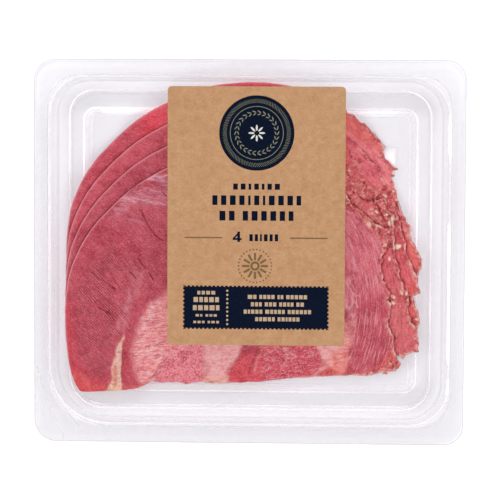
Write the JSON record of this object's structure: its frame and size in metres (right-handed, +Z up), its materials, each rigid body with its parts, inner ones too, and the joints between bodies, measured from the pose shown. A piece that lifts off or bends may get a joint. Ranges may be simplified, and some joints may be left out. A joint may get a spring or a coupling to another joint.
{
  "type": "sliced pressed ox tongue in a clear tray pack",
  "caption": "Shingled slices of pressed ox tongue sealed in a flat clear stepped tray with a film lid and a paper label.",
  "frame": {"origin": "middle of the pack's footprint, on the surface it lies on", "axes": "+X along the pack's width, +Y towards the top of the label, +Z up from the tray's floor to the lid"},
  "size_m": [0.18, 0.1606, 0.0143],
  "materials": {
    "tray_plastic": "clear glossy thermoformed plastic sheet",
    "lid_film": "clear glossy sealed film",
    "kraft_paper": "uncoated brown kraft paper with dark blue print",
    "cured_meat": "moist cut face of cooked cured meat, fibrous, rose red with pale fat"
  },
  "bodies": {
    "root": {"tray": "tray_plastic", "lid_film": "lid_film", "label": "kraft_paper", "slice_1": "cured_meat", "slice_2": "cured_meat", "slice_3": "cured_meat", "slice_4": "cured_meat"}
  },
  "joints": []
}
